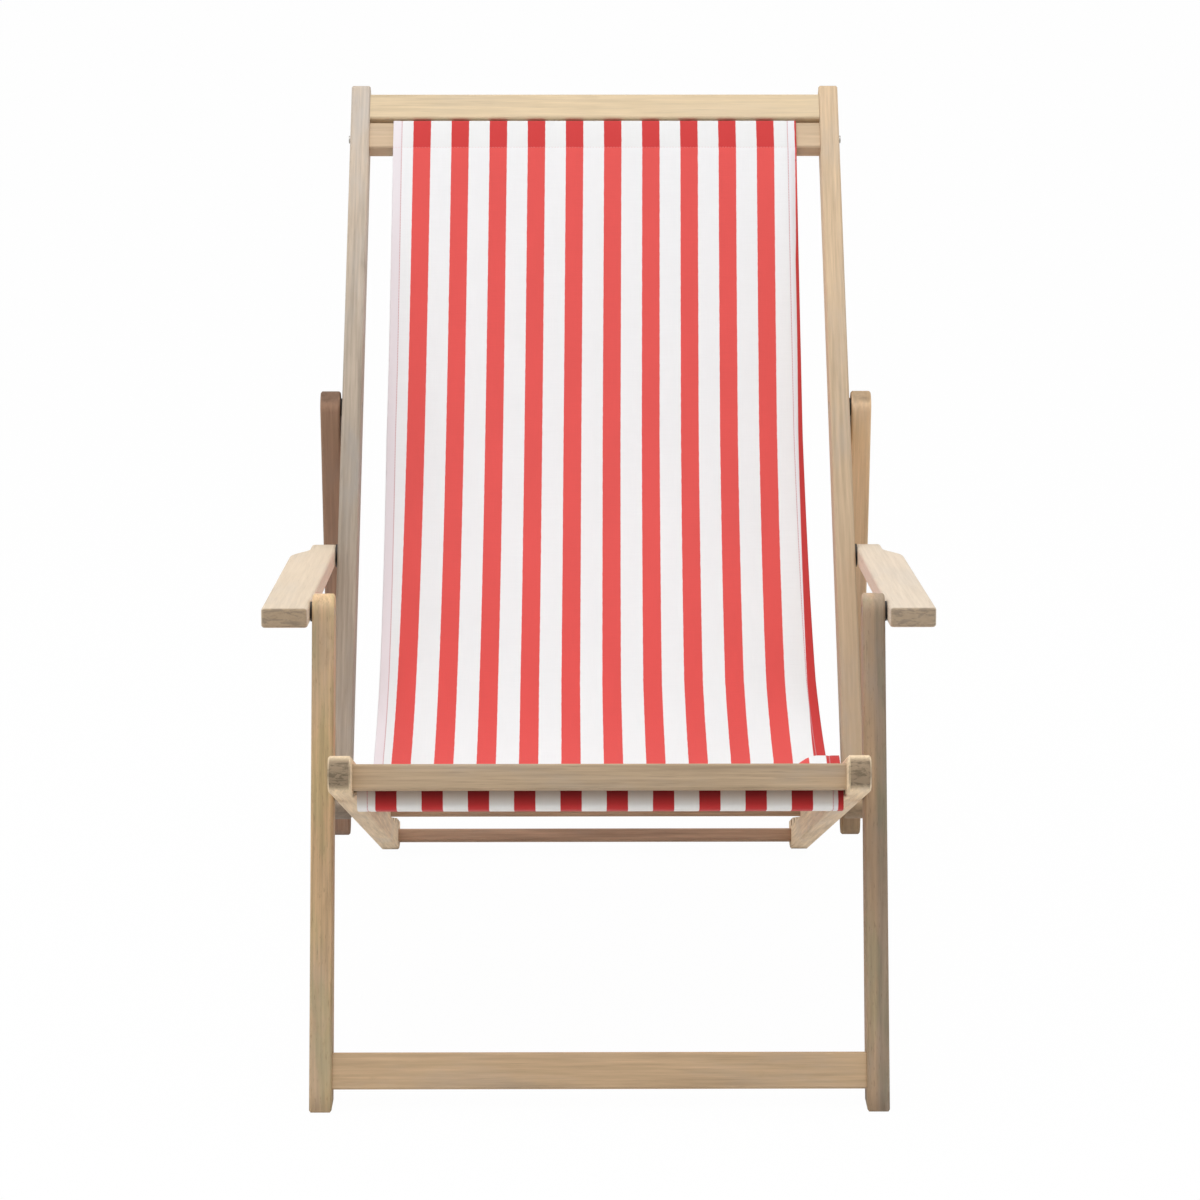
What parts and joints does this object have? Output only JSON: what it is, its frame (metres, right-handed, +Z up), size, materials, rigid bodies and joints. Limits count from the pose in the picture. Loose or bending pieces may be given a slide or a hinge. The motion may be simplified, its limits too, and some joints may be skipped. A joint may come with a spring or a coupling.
{
  "type": "deck chair",
  "caption": "Folding wooden deck chair with armrests, a prop frame in notched seat rails and a striped cloth sling.",
  "frame": {"origin": "on the floor, at the middle of the chair's width and depth", "axes": "+X to the right seen from the front, +Y to the rear, +Z up"},
  "size_m": [0.666, 1.0467, 0.9298],
  "materials": {
    "wood": "weathered, unpainted",
    "steel": "plain zinc",
    "washer": "matte",
    "cloth": "woven canvas, striped"
  },
  "bodies": {
    "seat": {"seat_rail_right": "wood", "seat_rail_left": "wood", "seat_front_bar": "wood", "seat_cloth_bar": "wood", "seat_rear_stretcher": "wood", "seat_pivot_bolts": "steel", "seat_pivot_nuts": "steel", "seat_pivot_washers": "washer", "sling": "cloth"},
    "back": {"back_rail_right": "wood", "back_rail_left": "wood", "back_top_bar": "wood", "back_cloth_bar": "wood", "prop_pivot_bolts": "steel", "prop_pivot_nuts": "steel", "prop_pivot_washers": "washer", "back_screws": "steel"},
    "legs": {"leg_right": "wood", "leg_left": "wood", "leg_stretcher": "wood", "arm_front_bolts": "steel", "arm_front_nuts": "steel", "arm_front_washers": "washer"},
    "prop": {"prop_strut_right": "wood", "prop_strut_left": "wood", "prop_bar": "wood"},
    "arm_right": {"armrest_right": "wood", "arm_rear_pin_right": "steel", "arm_rear_washer_right": "washer"},
    "arm_left": {"armrest_left": "wood", "arm_rear_pin_left": "steel", "arm_rear_washer_left": "washer"}
  },
  "joints": [
    {"name": "back_fold", "type": "hinge", "parent": "seat", "child": "back", "pos_m": [0, -0.1018, 0.21005], "axis": [-1, 0, 0], "range_deg": [0, 55], "deforming": ["sling"]},
    {"name": "leg_fold", "type": "hinge", "parent": "seat", "child": "legs", "pos_m": [0, -0.39164, 0.30339], "axis": [-1, 0, 0], "range_deg": [0, 76.5]},
    {"name": "arm_right_fold", "type": "hinge", "parent": "legs", "child": "arm_right", "pos_m": [0.31, -0.33993, 0.46638], "axis": [1, 0, 0], "range_deg": [0, 65]},
    {"name": "arm_left_fold", "type": "hinge", "parent": "legs", "child": "arm_left", "pos_m": [-0.31, -0.33993, 0.46638], "axis": [1, 0, 0], "range_deg": [0, 65]},
    {"name": "prop_fold", "type": "hinge", "parent": "back", "child": "prop", "pos_m": [0, 0.21034, 0.5887], "axis": [1, 0, 0], "range_deg": [0, 111]}
  ],
  "couplings": [
    {"joint": "leg_fold", "follows": "back_fold", "ratio": 1.3825},
    {"joint": "arm_right_fold", "follows": "back_fold", "ratio": 1.1725},
    {"joint": "arm_left_fold", "follows": "back_fold", "ratio": 1.1725},
    {"joint": "prop_fold", "follows": "back_fold", "ratio": 2}
  ]
}
